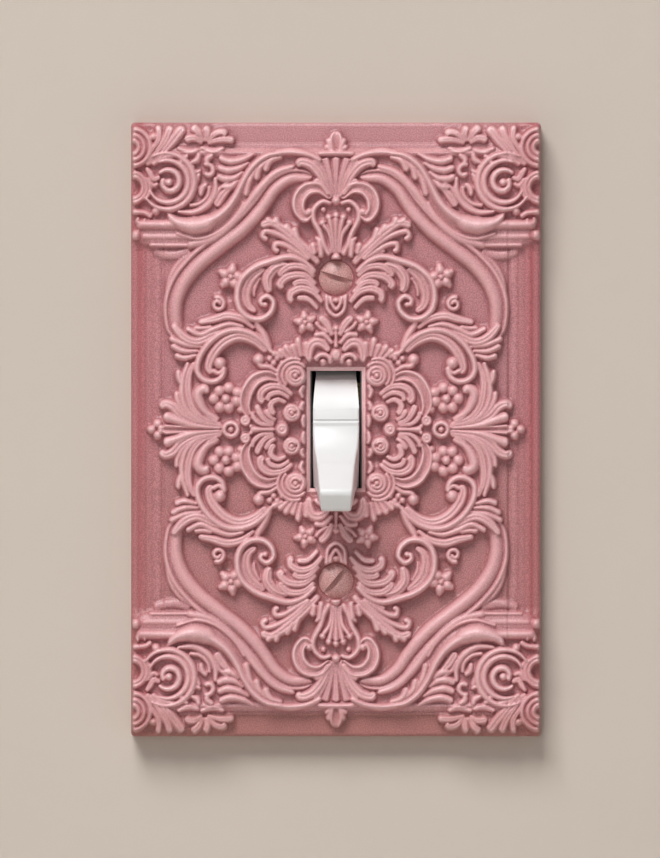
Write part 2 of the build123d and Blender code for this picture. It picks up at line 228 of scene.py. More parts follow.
def mouldings():
    line((0, 55.2), (33.8, 55.2), 0.8, 1.0)
    line((0, 56.55), (31, 56.55), 0.28, 0.4)
    for x, width, height in ((35.6, 0.75, 0.3), (37.0, 0.7, 0.22), (38.4, 0.6, 0.28), (39.7, 0.5, 0.2)):
        line((x, 0), (x, 38), width, height)
    line((27.5, 38.6), (37.6, 38.6), 1.9, 0.9)
    line((28.5, 36.6), (36.8, 36.6), 0.36, 1.2)
    line((28.9, 38.3), (38.1, 38.3), 0.6, 1.25)
    line((31.8, 40.7), (38.7, 40.7), 0.85, 1.8)
    stroke([(29.0, 35.4), (31.6, 34.7), (34.0, 34.7), (36.2, 35.4)], 0.75, 0.7)


def sweeping_bands():
    """The long bands from the palmette round to the sides, and the wave leaf that rides on them."""
    stroke([(4.7, 50.2), (8.9, 50.3), (12.3, 48.2), (15.2, 44.3), (18.9, 40.2), (23.6, 36.6), (27.8, 33.2),
            (30.9, 29.3), (32.4, 25), (32.2, 20.6), (31.0, 17.8)],
           [1.0, 1.35, 1.5, 1.6, 1.7, 1.7, 1.6, 1.3], [1.2, 1.5, 1.7, 1.6, 1.5, 1.4, 1.0], band,
           ends=(1.0, 1.5))
    stroke([(8.2, 52.4), (11.9, 51), (15.2, 47.8), (18.2, 43.9), (21.5, 40.2), (25, 37.7), (29, 36.7)],
           [0.5, 0.75, 0.8, 0.8, 0.8, 0.7], [1.4, 1.7, 1.6, 1.4], dome, ends=(1, 0))
    tube([(27.5, 35.6), (30.8, 33.6), (33, 30.4), (34, 26)], [0.3, 0.45, 0.2], 0.9)
    stroke([(33.8, 43.0), (31.2, 40.9), (27.8, 40.0), (24.2, 40.8), (21.3, 43.1), (19.3, 46), (17.8, 49.2),
            (16.0, 52), (13.6, 53.9), (10.8, 54.7)],
           [0.4, 1.4, 2.0, 1.9, 1.5, 1.3, 1.2, 1.1, 0.8], [1.5, 2.1, 2.4, 2.3, 2.1, 2.1, 2.0],
           lip_right, ends=(0.6, 1))
    stroke([(33.4, 42.6), (31.6, 41.2), (28.8, 40.5), (26, 40.9), (23.2, 42.5)], [0.5, 1.1, 1.6, 1.5, 0.7],
           [2.0, 2.5, 2.7, 2.5, 2.0], ends=(0.6, 0.8))
    tube([(31.8, 39.0), (27.8, 37.9), (24, 38.9), (20.4, 41.8), (18.2, 45.2)], [0.3, 0.4, 0.4, 0.3], 1.6)
    for lobe in ([(10.6, 54.2), (13, 53.4), (14.2, 51.3)],
                 [(13.4, 53.6), (15.2, 51.9), (15.9, 49.6)],
                 [(15.6, 52.2), (17.2, 49.4), (18.0, 46.4)]):
        stroke(lobe, [0.35, 0.6, 0.65], [1.4, 1.8, 1.7], dome, ends=(0.3, 0.9))
    stroke([(2.9, 53.4), (5.6, 54.7), (8.9, 55.3), (12.2, 54.9)], [0.5, 0.6, 0.7, 0.6], 1.7, dome)


def palmette():
    """The fan at the middle of the top edge, its finial and the scrolls under it."""
    stroke([(0, 55.8), (0, 57.4), (0, 59.3)], [0.8, 1.25, 1.0], 1.7, hollow, ends=(0, 0.9))
    for tip, width in (((1.75, 57.9), 0.55), ((2.3, 56.4), 0.55)):
        stroke([(0.7, 55.4), tip], width, 1.6, ends=(0.3, 0.8))
    line((0, 54.9), (3.2, 54.9), 0.5, 1.6)
    for path, widths, heights, end in (
            ([(0, 46.4), (0, 50), (0, 54.1)], [0.3, 0.5, 0.8], [1.2, 1.5, 1.5], 0.3),
            ([(0.45, 46.4), (1.1, 50.2), (2.25, 54)], [0.25, 0.45, 0.75], [1.2, 1.5, 1.4], 0.3),
            ([(0.75, 46.4), (2.0, 50.2), (4.1, 53.8)], [0.25, 0.5, 0.8], [1.3, 1.6, 1.5], 0.4)):
        stroke(path, widths, heights, fluted(2), ends=(0, end))
    stroke([(1.2, 46.9), (2.9, 50.3), (4.9, 52.5), (6.9, 53.1), (7.7, 52.3)], [0.4, 0.75, 0.95, 0.95, 0.8],
           [1.4, 1.8, 2.0, 1.9], fluted(2, 0.45), ends=(0.3, 0.8))
    stroke([(1.4, 46.7), (2.8, 48.6), (4.4, 49.6)], [0.4, 0.6, 0.7], 1.7, fluted(2), ends=(0.3, 0.8))
    bead(0, 45.5, 0.95, 2.0)
    stroke([(1.0, 46), (3.2, 47.9), (5.6, 47.8), (7.2, 46.1), (7.4, 43.8), (6.3, 42.2), (5.1, 42.6)],
           [0.5, 0.85, 1.1, 1.25, 1.2, 0.95, 0.8], [1.6, 2.0, 2.1, 1.9], hollow, ends=(0.4, 0.8))
    bead(5.3, 43.3, 0.8, 1.9)
    bead(2.5, 43.7, 0.6, 1.4)
    tube([(0.9, 44.9), (2.7, 45.3), (4.3, 43.9), (4.4, 41.5), (3.1, 38.9), (2.1, 36)],
         [0.35, 0.5, 0.55, 0.45], 1.7)
    for tip, width in (((0, 42.1), 0.6), ((1.3, 41.8), 0.5), ((2.5, 40.7), 0.45)):
        stroke([(0.35 * tip[0], 35.2), (0.5 * tip[0], 38.6), tip], [0.25, 0.35, width], [1.2, 1.5, 1.9],
               ends=(0, 0.6))
    for x, z in ((0, 42.6), (1.45, 42.2), (2.7, 41.1)):
        bead(x, z, 0.72, 2.0)
    tube([(1.3, 34.6), (2.4, 36.6), (4.2, 38.3)], [0.5, 0.6, 0.3], 1.6)
    bead(0, 34.1, 1.0, 2.0)


def corner():
    """The corner block: a volute, leaves that fan from the outer corner, and the fill between."""
    x, z = 33.2, 49.1
    for cx, radius, start, end in ((33.7, 5.9, 60, 325), (33.5, 4.4, 65, 335)):
        stroke(arc(cx, z, radius, start, end, 0.88 * radius, n=12), [0.2, 0.6, 0.66, 0.55, 0.25], 1.95)
    stroke(arc(x, z, 2.7, 40, 400, 1.1, n=16), [0.3, 0.6, 0.62, 0.45], 2.1)
    bead(x, z, 0.85, 2.3)
    stroke([(31.5, 54.6), (34.3, 54), (36.6, 52.6)], [0.5, 0.6, 0.4], 1.6)
    stroke([(34.9, 50.2), (36.2, 49.8), (37.0, 51), (37.8, 52.1)], [0.4, 0.6, 0.6, 0.3], 1.7, fluted(2))
    stroke([(35.3, 48.9), (36.4, 48.5), (37.6, 50.0)], [0.4, 0.55, 0.3], 1.5)
    root = (37.7, 52.5)
    for path, width in (([root, (35.2, 54.2), (32.8, 56.9), (30.3, 60.1)], 0.95),
                        ([root, (35.6, 55.2), (33.9, 57.6), (32.8, 60.3)], 0.75),
                        ([root, (36.6, 55.4), (35.2, 57.9), (35.4, 60.4)], 0.6)):
        stroke(path, [0.3, 0.6 * width, width, width], [1.4, 1.9, 2.0, 1.9], fluted(2, 0.4), ends=(0.2, 0.8))
    bead(36.3, 58.2, 0.85, 1.8)
    for radius in (3.7, 2.5, 1.4):
        stroke(arc(40.6, 56.1, radius, 95, 265, n=9), 0.48, 1.8, ends=(0.4, 0.4))
    for radius in (3.0, 2.2):
        stroke(arc(40.6, 48.1, radius, 95, 265, n=9), 0.45, 1.6, ends=(0.4, 0.4))
    for path, width in (([(25.6, 56.9), (23, 57.6), (20.2, 57.5)], 0.7),
                        ([(25.6, 57.1), (24, 58.8), (22.5, 59.1), (21.9, 58.4)], 0.7),
                        ([(25.9, 57.2), (25.6, 59), (26.0, 60.3)], 0.75),
                        ([(26.3, 57.2), (27.4, 59.1), (28.7, 60.2)], 0.8),
                        ([(26.5, 56.9), (28.2, 57.9), (30.1, 57.6)], 0.75)):
        stroke(path, [0.35, 0.9 * width, width], [1.5, 1.9, 1.9], fluted(2), ends=(0.2, 0.8))
    for path in ([(22.2, 55.9), (24.4, 55.4), (27.0, 56.0)], [(27.2, 55.6), (29.4, 55.2), (31.6, 56.0)],
                 [(24.4, 54.6), (25.6, 53.7), (25.4, 52.5)], [(27.2, 54.8), (27.6, 53.6), (28.8, 53.0)],
                 [(29.3, 54.4), (30.4, 53.9), (30.9, 52.8)]):
        stroke(path, [0.4, 0.62, 0.4], 1.7)
    for leaflet in ([(16.2, 54.9), (18.6, 53.7), (21.0, 53.3), (23.3, 54.0)],
                    [(17.2, 53.1), (19.4, 51.9), (21.6, 51.5), (23.6, 52.2)],
                    [(18.4, 51.3), (20.2, 50.0), (22.2, 49.8), (23.7, 50.5)],
                    [(19.3, 49.6), (20.9, 48.3), (22.6, 48.1)]):
        stroke(leaflet, [0.3, 0.6, 0.75, 0.6], [1.2, 1.8, 1.9, 1.7], ends=(0.3, 0.8))
    stroke(arc(25.5, 51.3, 1.5, 60, 330, 0.5, n=14), [0.4, 0.5, 0.45], 1.7)
    stroke(arc(27.9, 52.0, 1.0, 200, 420, 0.4, n=10), [0.35, 0.45, 0.4], 1.6)
    stroke([(27.0, 50.9), (27.6, 49.9), (28.0, 48.4)], [0.35, 0.6, 0.35], 1.5)
    stroke([(25.6, 48.9), (26.6, 47.9), (26.9, 46.4)], [0.4, 0.65, 0.4], 1.6)
    stroke([(20.5, 48.4), (22.3, 46.8), (23.9, 44.3)], [0.4, 0.85, 0.8], 1.8, fluted(2, 0.4), ends=(0.3, 0.8))
    tube([(21.4, 49.2), (23, 47.9), (24.1, 45.9)], 0.4, 1.5)
    stroke([(24, 50.2), (24.0, 47.4), (25.4, 44.8), (28.2, 43.2), (31.6, 43.3)],
           [0.35, 0.6, 0.7, 0.6, 0.3], 1.7)
    tube([(25.1, 48.4), (25.5, 46.4), (27.1, 44.9), (29.2, 44.5)], 0.4, 1.5)
    tube([(30.6, 44.4), (32.6, 43.5), (34.7, 44)], [0.3, 0.45, 0.3], 1.5)
    bead(35.8, 43.4, 0.95, 1.8)
    tube([(36.6, 42.2), (38.1, 43.1), (40.4, 43.2)], 0.5, 1.5)
    stroke(arc(38.9, 41.5, 0.9, 150, 430, 0.5, n=9), 0.35, 1.6)
    stroke([(38.2, 45.6), (37.2, 47.6), (38.0, 50.2)], [0.5, 0.7, 0.4], 1.6, fluted(2))
    bead(39.7, 38.6, 0.95, 1.6, flat=1.35)


def screw_spray():
    """Acanthus and plumes that spread from the plate screw."""
    stroke([(3.4, 33.0), (6.6, 36.4), (9.6, 39.1), (12.6, 41), (15.0, 40.5)], [0.5, 0.9, 1.0, 0.85, 0.7],
           [1.5, 1.9, 2.0, 1.9], fluted(2, 0.4), ends=(0.2, 0.7))
    for root, tip in (((2.9, 34.2), (3.3, 37.9)), ((4.2, 34.8), (4.8, 37.2)), ((7.2, 37.2), (8.4, 40.2)),
                      ((8.6, 38.4), (10.0, 40.9)), ((11.2, 40.2), (12.1, 42.3)), ((12.4, 40.9), (13.9, 42.0))):
        stroke([root, tip], [0.5, 0.65], 1.8, ends=(0.2, 0.9))
    tube([(5.2, 33.8), (8.4, 36.8), (11.4, 38.7), (13.9, 39.4), (14.6, 38.4), (13.6, 37.7)],
         [0.35, 0.5, 0.55, 0.5], 1.7)
    tube([(5.4, 33.7), (8, 35.4), (10.2, 36.7), (11.9, 36.9), (12.2, 35.8), (11.3, 35.4)],
         [0.35, 0.5, 0.55, 0.5], 1.6)
    tube([(5.7, 33.9), (7.9, 34.9), (9.8, 35.6)], 0.4, 1.3)
    outer = [(4, 31.2), (6.3, 33.3), (9.2, 34.3), (12.5, 33.6), (16, 32.3), (18.6, 30), (19.6, 27), (19.1, 24),
             (17.2, 22.2), (14.8, 22), (12.9, 23.3), (12.4, 25.3), (13.7, 26.5), (15, 25.7), (14.6, 24.5)]
    tube(outer, [0.4, 0.6, 0.65, 0.65, 0.65, 0.6, 0.5, 0.45], [1.6, 2.0, 2.1, 2.1, 2.0])
    stroke([(14.2, 32.0), (16.8, 29.9), (17.9, 27.1), (17.5, 24.7), (15.9, 23.4)],
           [0.4, 0.95, 1.1, 0.9, 0.5], 1.6, fluted(2, 0.5))
    tube([(15, 30.2), (16.1, 28.2), (16.3, 26.3)], [0.2, 0.4, 0.2], 1.2)
    bead(14.1, 24.8, 0.6, 2.0)
    stroke([(9.6, 33.0), (12.1, 32.1), (13.6, 30.2), (13.5, 28.2), (12.8, 27.4)], [0.5, 0.85, 1.05, 0.95, 0.7],
           [1.4, 1.8, 1.9, 1.8], fluted(3, 0.45), ends=(0.4, 0.7))
    for path, width in (([(4.2, 30.4), (6.4, 32.2), (9.1, 32.4), (10.9, 31.1), (10.7, 30.5)], 0.75),
                        ([(3.9, 28.8), (6.4, 30.6), (9.5, 30.4), (11.1, 28.9), (10.4, 28.2)], 0.8),
                        ([(3.3, 27.2), (5.6, 29.1), (7.5, 29.3), (8.6, 28.6)], 0.6),
                        ([(2.7, 25.2), (4.6, 27.3), (6.9, 28), (8.8, 27.2), (9.1, 26), (8.4, 25.6)], 0.75),
                        ([(3.6, 24.0), (5.6, 25.9), (7.8, 26.1)], 0.55)):
        stroke(path, [0.4, 0.85 * width, width, 0.9 * width], [1.5, 1.8, 1.8, 1.7], fluted(2, 0.45),
               ends=(0.3, 0.7))
    flower(20.9, 30.3, 2.6, 5, 100, 1.5)
    stroke(arc(23.5, 24.9, 1.5, 60, 560, 0.3, n=22), [0.42, 0.42, 0.35], 1.6, ends=(0.5, 0.3))
    for half, top, foot in ((1.9, 26.6, 22.6), (1.1, 26.4, 23.9)):
        tube([(-half, top), (-0.85 * half, foot + 1.3), (0, foot), (0.85 * half, foot + 1.3), (half, top)],
             0.38, 1.7, ends=(0, 0))
    bead(0, 25.7, 0.65, 1.7)
    flower(6.1, 21.3, 2.2, 5, 80, 1.5)


def side_scroll():
    """The S-scroll between the screw and the side, with its leaves."""
    tube([(12.7, 15.2), (14.2, 17.1), (16.6, 18.9), (19.4, 19.7), (22.2, 19.3), (25, 17.4), (27, 14.6),
          (27.6, 11.9), (26.6, 10.1), (24.4, 9.5), (22.6, 10.6), (22.1, 12.5)],
         [0.45, 0.6, 0.65, 0.65, 0.6, 0.55, 0.5], [1.6, 2.0, 2.1, 2.0, 1.8])
    stroke([(13.8, 15.4), (16.5, 17.6), (19.4, 18.4), (22.2, 17.3), (24.4, 14.9), (25.3, 12.4), (24.6, 11.1)],
           [0.45, 0.8, 0.95, 1.0, 0.95, 0.6], [1.5, 1.9, 2.0, 1.8], fluted(2, 0.5))
    bead(23.1, 13.2, 1.35, 2.0)
    tube([(22.1, 12.2), (23.3, 11.2), (24.6, 11.8)], 0.45, 1.7)
    stroke([(16.2, 20.0), (18.6, 21.9), (21.5, 22.6), (24.3, 21.9), (27.4, 21.3)], [0.35, 0.7, 0.85, 0.75, 0.5],
           [1.5, 2.0, 2.0, 1.8], fluted(2, 0.4), ends=(0.5, 0.6))
    tube([(24.6, 20.4), (26.7, 20.1), (28.2, 20.3)], 0.45, 1.6)
    tube([(18.2, 20.4), (21.2, 20.9), (24.2, 20.0), (27, 18.9), (29.8, 20.2)], [0.3, 0.55, 0.6, 0.6, 0.5], 1.8)
    stroke([(21, 19.9), (24.2, 18.8), (27.4, 17.4), (30.2, 18.3), (32.5, 20.9)], [0.4, 0.7, 0.85, 0.9, 0.65],
           [1.5, 1.9, 2.1, 2.0], fluted(2, 0.4), ends=(0.4, 0.8))
    for path in ([(26.6, 16.4), (29.8, 16.8), (33.1, 18.2)],
                 [(27.2, 15.6), (30.2, 15.6), (32.8, 16.7)],
                 [(27.6, 14.8), (30.2, 14.2), (32.1, 14.8)]):
        stroke(path, [0.35, 0.55, 0.55], [1.5, 1.8, 1.6], ends=(0.3, 0.8))
    tube([(13.0, 16), (14.2, 18.6), (15.6, 20.8), (15.8, 22.2)], [0.5, 0.65, 0.7, 0.5], 1.5)
    stroke([(22.7, 1.0), (26.2, 1.9), (28.4, 4.1), (29.3, 7.1), (29.3, 10.3), (28.2, 13.4)],
           [0.4, 0.65, 0.75, 0.75, 0.4], [1.5, 1.9, 1.9, 1.7], fluted(2, 0.4))
    stroke([(23.5, 0.9), (27.4, 1.9), (29.7, 4.1), (30.6, 7.0), (30.4, 10), (29.4, 13.4)],
           [0.3, 0.5, 0.6, 0.6, 0.4], [1.4, 1.8, 1.8, 1.6])
    for path in ([(27, 1.5), (30.0, 3.4), (31.4, 5.6), (31.8, 7.6)], [(30.4, 8.4), (31.2, 10.0), (31.4, 11.9)]):
        stroke(path, [0.35, 0.5, 0.55, 0.45], 1.7, ends=(0.4, 0.8))


def side_palmette():
    """The rosette and the fan of lobes at the middle of each side, with the buds beside it."""
    ring(20.9, 0, 1.35, 0.45, 1.9)
    bead(20.9, 0, 0.7, 1.9)
    stroke([(22.6, 0.5), (27.4, 1.1), (30.6, 2.6), (32.4, 4.5), (34.0, 5.1), (34.9, 4.2)],
           [0.4, 0.6, 0.75, 0.9, 0.9, 0.7], [1.5, 1.8, 2.0, 2.0], fluted(2, 0.45), ends=(0.3, 0.8))
    stroke([(23, 0.25), (28.4, 0.8), (32, 2.0), (34.3, 2.8)], [0.3, 0.45, 0.8, 1.0], [1.4, 1.7, 2.0, 2.0],
           ends=(0.2, 0.9))
    stroke([(22.8, 0), (28, 0), (34.4, 0)], [0.4, 0.45, 0.9], [1.6, 1.7, 2.0], hollow, ends=(0.2, 0.5))
    for x, z, r in ((35.5, 1.2, 1.0), (36.7, 0.0, 1.0), (34.8, 0.3, 0.8)):
        bead(x, z, r, 2.0)
    for x, z in ((21.3, 8.3), (19.6, 7.4), (23.2, 7.7), (24.3, 6.1), (23.1, 4.4), (21.3, 4.3), (19.8, 5.6)):
        bead(x, z, 1.2, 1.7)
    bead(21.9, 6.1, 1.0, 2.0)
    bead(19.0, 3.9, 0.8, 1.6)
    stroke([(23.2, 1.9), (25.8, 3.4), (27.2, 5.6), (27.4, 7.2), (26.3, 8.1), (25.3, 7.4)],
           [0.4, 0.6, 0.8, 1.0, 1.0, 0.8], [1.4, 1.7, 2.0, 2.0], ends=(0.3, 0.8))
    tube([(23.6, 1.6), (25.4, 2.5), (26.3, 4.0)], 0.4, 1.5)
    bead(18.0, 1.75, 0.85, 1.8)
    ring(18.0, 1.75, 0.75, 0.3, 1.9)
    stroke([(12.2, 0), (14.6, 0), (17.0, 0)], [0.35, 0.4, 0.75], 1.7, ends=(0.2, 0.5))
    bead(16.9, 0.65, 0.5, 1.8)


def slot_surround():
    """Roses, nested plumes and buds round the toggle opening."""
    rose(8.1, 10.7, 2.1, 1.9)
    stroke(arc(8.1, 10.7, 2.6, -50, 140, n=10), [0.3, 0.45, 0.3], 1.6)
    stroke(arc(8.3, 10.8, 3.3, -40, 115, n=9), [0.3, 0.45, 0.3], 1.6)
    rose(8.8, 3.3, 1.75, 1.9)
    bead(10.7, 0, 1.55, 1.6)
    ring(10.7, 0, 0.85, 0.3, 1.9)
    bead(10.8, 0, 0.45, 2.0)
    for path in ([(6.3, 8.9), (7.0, 7.6), (6.6, 6.2)], [(6.4, 5.6), (6.9, 4.6), (6.5, 3.8)],
                 [(6.3, 3.0), (6.6, 1.6), (6.4, 0.4)]):
        stroke(path, [0.3, 0.5, 0.3], 1.3)
    stroke([(11.2, 9.9), (13.6, 10.7), (16.0, 9.9), (17.6, 7.6), (18.1, 4.9), (17.4, 2.7)],
           [0.5, 0.95, 1.15, 1.15, 1.0, 0.6], [1.6, 2.0, 2.1, 2.0, 1.8], hollow)
    for path, width in (([(8.6, 6.8), (10.6, 8.3), (13, 8.6), (14.7, 7.6), (15, 6.1), (14.2, 5.5)], 0.8),
                        ([(9.2, 6.2), (11.2, 7.3), (13.1, 6.9), (13.7, 5.6)], 0.55),
                        ([(9.9, 5.3), (11.6, 5.9), (12.9, 5.0), (12.7, 3.6), (12.0, 3.2)], 0.65),
                        ([(12.2, 1.2), (14.1, 1.9), (15.2, 3.4), (15.8, 4.9)], 0.65),
                        ([(12.3, 0.8), (14.9, 1.1), (16.4, 2.4), (16.7, 3.6)], 0.5),
                        ([(11.9, 1.8), (13.2, 2.6), (14.1, 4.0)], 0.5)):
        stroke(path, [0.35, 0.8 * width, width, 0.9 * width], [1.4, 1.8, 1.9, 1.8], fluted(2, 0.45),
               ends=(0.3, 0.7))
    tube([(11.4, 11.3), (13.2, 12.4), (14.8, 12.6), (15.6, 13.2)], [0.35, 0.5, 0.55], 1.6)
    bead(15.4, 13.9, 1.25, 1.9)
    for x, z in ((10.7, 13.2), (11.7, 14.2), (12.4, 13.2), (13.2, 14.1)):
        bead(x, z, 0.7, 1.6)
    for root, tip in (((6.2, 14.4), (5.9, 17.6)), ((6.9, 14.4), (7.7, 18.3)), ((7.7, 14.2), (8.8, 17.1)),
                      ((8.5, 14.1), (10.3, 16.9)), ((9.4, 14.1), (11.5, 16.0)), ((10.4, 14.3), (12.8, 15.3))):
        stroke([root, tip], [0.4, 0.7], [1.3, 1.7], ends=(0.2, 0.9))
    bead(0, 14.9, 1.35, 1.9)
    ring(0, 14.9, 0.65, 0.25, 2.0)
    stroke(arc(2.6, 13.4, 1.5, 10, 190, n=8), 0.45, 1.7)
    bead(2.6, 13.4, 0.75, 1.6)
    stroke([(0, 16.2), (0, 18), (0, 19.6)], [0.5, 0.35, 0.4], 1.5)
    bead(0, 20.1, 0.75, 1.8)
    stroke([(1.3, 15.6), (2.9, 17.2), (4.6, 17.1), (5.4, 15.4), (5.3, 13.4)], [0.5, 0.9, 1.0, 0.9, 0.5], 1.8,
           fluted(2, 0.45), ends=(0.3, 0.6))
    tube([(0.7, 17.0), (2.4, 18.8), (4.4, 18.8)], [0.35, 0.55, 0.45], 1.7)
    stroke([(0.7, 18.6), (1.8, 20.9), (3.3, 22.4)], [0.4, 0.75, 0.7], 1.8, fluted(2, 0.45), ends=(0.3, 0.8))
    tube([(1.6, 19.2), (3.2, 20.3), (4.1, 21.4)], 0.4, 1.5)


def fade(value, start, width):
    """0 up to start, then rising to 1 over width."""
    return np.clip((value - start) / width, 0, 1)


def blurred(field, sigma):
    """A Gaussian blur of a quarter field, mirrored across its edges."""
    n = math.ceil(3 * sigma / STEP)
    kernel = np.exp(-0.5 * (np.arange(-n, n + 1) * STEP / sigma) ** 2)
    kernel /= kernel.sum()
    for axis in (0, 1):
        pad = [(0, 0), (0, 0)]
        pad[axis] = (n, n)
        wide = np.moveaxis(np.pad(field, pad, mode="symmetric"), axis, 0)
        size = field.shape[axis]
        field = np.moveaxis(sum(k * wide[i : i + size] for i, k in enumerate(kernel)), 0, axis)
    return field


def spread(field, reach, pick):
    """Each point takes the highest or lowest value within reach of it."""
    n = round(reach / STEP)
    wide = np.pad(field, n, mode="symmetric")
    out = field.copy()
    for i in range(-n, n + 1):
        for k in range(-n, n + 1):
            if i * i + k * k <= n * n:
                out = pick(out, wide[n + i : n + i + field.shape[0], n + k : n + k + field.shape[1]])
    return out


for draw in (mouldings, sweeping_bands, palmette, corner,
             screw_spray, side_scroll, side_palmette, slot_surround):
    draw()

# narrow gaps between neighbouring strokes are partly filled, so that a leaf reads as one body with lines on it
FILL_REACH, FILL_BLUR, FILL_SHARE, STROKE_SHARE, SOFTEN = 0.9, 0.3, 0.55, 0.74, 0.09
body = spread(spread(relief, FILL_REACH, np.maximum), FILL_REACH, np.minimum)
carved = blurred(FILL_SHARE * blurred(body, FILL_BLUR) + STROKE_SHARE * relief, SOFTEN)

from_screw = np.hypot(QX, QZ - SCREW_Z)
from_slot = np.maximum(QX - SLOT_X, QZ - SLOT_Z)
from_edge = np.minimum(PLATE_X - QX, PLATE_Z - QZ)
SEAT_FADE, SLOT_FADE, EDGE_FADE = 0.25, 0.3, 0.5
carved *= fade(from_screw, SINK, SEAT_FADE) * fade(from_slot, BEVEL, SLOT_FADE) * fade(from_edge, 0, EDGE_FADE)

# the panel's edge is a soft step, which the corner block's base hides
PANEL_X, PANEL_Z, PANEL_STEP = 34.2, 55.3, 0.5
BLOCK_X, BLOCK_X_FADE, BLOCK_Z, BLOCK_Z_FADE, BLOCK_LEVEL = 26, 2, 35.5, 1.5, 0.7
on_panel = (np.clip((PANEL_X - QX) / PANEL_STEP + 0.5, 0, 1)
            * np.clip((PANEL_Z - QZ) / PANEL_STEP + 0.5, 0, 1))
in_block = fade(QZ, BLOCK_Z, BLOCK_Z_FADE) * fade(QX, BLOCK_X, BLOCK_X_FADE)
on_panel = np.maximum(on_panel, in_block * BLOCK_LEVEL)

rounding = EDGE_ROUND * (1 - np.sqrt(1 - np.clip(1 - from_edge / EDGE_ROUND, 0, 1) ** 2))
face_depth = BORDER + (PANEL - BORDER) * on_panel + carved - rounding
face_depth -= np.clip(BEVEL - from_slot, 0, BEVEL)
sink_depth = PANEL - (SINK - np.clip(from_screw, HOLE, SINK)) / SINK_SLOPE
face_depth = np.where(from_screw < SINK, sink_depth, face_depth)

# painted highlight and shade: the surface is paler by its height and by how far it stands over its
# surroundings, and darker in the hollows
PAINTED_LIGHT_BASE, PAINTED_LIGHT_HEIGHT, PAINTED_LIGHT_LOCAL, PAINTED_LIGHT_REACH, PAINTED_SHADE_FLOOR = 0.34, 0.1, 0.5, 0.6, -0.34
TOP_BAND_Z, TOP_BAND_PAINTED_LIGHT = 56.5, 0.07
SLOT_PAINTED_HIGHLIGHT, SLOT_HIGHLIGHT_WIDTH, SEAT_PAINTED_SHADOW, SEAT_INSET, SEAT_WIDTH = 0.95, 0.25, 0.05, 0.1, 0.25
stands_over = np.maximum(carved - blurred(carved, PAINTED_LIGHT_REACH), PAINTED_SHADE_FLOOR)
painted_highlight_shade = np.clip(PAINTED_LIGHT_BASE + PAINTED_LIGHT_HEIGHT * carved + PAINTED_LIGHT_LOCAL * stands_over, 0, 1)
# painted light on the flat upper band
painted_highlight_shade += TOP_BAND_PAINTED_LIGHT * fade(QZ, TOP_BAND_Z, 1) * np.clip(1 - carved, 0, 1)
# a painted highlight on the slot's bevel
painted_highlight_shade = np.where(from_slot < BEVEL + SLOT_HIGHLIGHT_WIDTH, SLOT_PAINTED_HIGHLIGHT, painted_highlight_shade)
# a painted shadow in a thin ring at each screw seat's mouth
painted_highlight_shade = np.where(np.abs(from_screw - SINK + SEAT_INSET) < SEAT_WIDTH, SEAT_PAINTED_SHADOW, painted_highlight_shade)

# and how much of the deeper red of the side bands it takes
SIDE_X, SIDE_FADE, SIDE_RED = 34.6, 1.5, 0.32
LINE_X, LINE_WIDTH, LINE_RED = 38.9, 1.0, 0.55
RAISED_HEIGHT, RAISED_LESS = 1.5, 0.6
edge_tint = fade(QX, SIDE_X, SIDE_FADE) * (SIDE_RED + LINE_RED * np.exp(-(((QX - LINE_X) / LINE_WIDTH) ** 2)))
edge_tint *= 1 - RAISED_LESS * np.clip(carved / RAISED_HEIGHT, 0, 1)

# ---------------------------------------------------------------- meshes


def link(name, bm_or_mesh, body, slot, *nodes):
    """Makes an object of a finished mesh, rides it on its body and lets it stand for CAD nodes."""
    if isinstance(bm_or_mesh, bmesh.types.BMesh):
        mesh = bpy.data.meshes.new(name)
        bm_or_mesh.to_mesh(mesh)
        bm_or_mesh.free()
    else:
        mesh = bm_or_mesh
    piece = bpy.data.objects.new(name, mesh)
    bpy.context.scene.collection.objects.link(piece)
    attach(piece, body)
    if nodes:
        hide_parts(*nodes)
    return piece


def mirrored(quarter):
    """The whole plate's field from the quarter's, sharing the lines on the axes."""
    half = np.concatenate([quarter[:0:-1], quarter])
    return np.concatenate([half[:, :0:-1], half], axis=1)


def rounded_outline(x, z):
    """Pulls the square corners of the grid in to the plate's rounded ones."""
    cx, cz = PLATE_X - CORNER, PLATE_Z - CORNER
    u, v = (np.abs(x) - cx) / CORNER, (np.abs(z) - cz) / CORNER
    inside = (u > 0) & (v > 0)
    reach = np.where(inside, np.maximum(u, v) / np.maximum(np.hypot(u, v), 1e-9), 1)
    return (np.where(inside, np.sign(x) * (cx + u * reach * CORNER), x),
            np.where(inside, np.sign(z) * (cz + v * reach * CORNER), z))


def extruded(bm, edges, depth, move=None):
    """Extrudes a loop of edges to a depth in mm behind or before the wall plane; move(x, z) also shifts it."""
    made = bmesh.ops.extrude_edge_only(bm, edges=edges)["geom"]
    for v in made:
        if isinstance(v, bmesh.types.BMVert):
            if move:
                v.co.x, v.co.z = move(v.co.x, v.co.z)
            v.co.y = depth * MM
    return [e for e in made if isinstance(e, bmesh.types.BMEdge)
            and all(abs(v.co.y - depth * MM) < 1e-7 for v in e.verts)]


FOOT_Z = 55.6                           # the bottom band below this takes a painted shade, browner and darker
LOWER_SHADE_SHARE, LOWER_SHADE_FADE = 0.38, 12.0    # and the ground of the lower half a little of the same painted shade
SHARP_EDGE = math.radians(40)
UV_SPAN = 0.14                          # metres of plate across the whole UV square


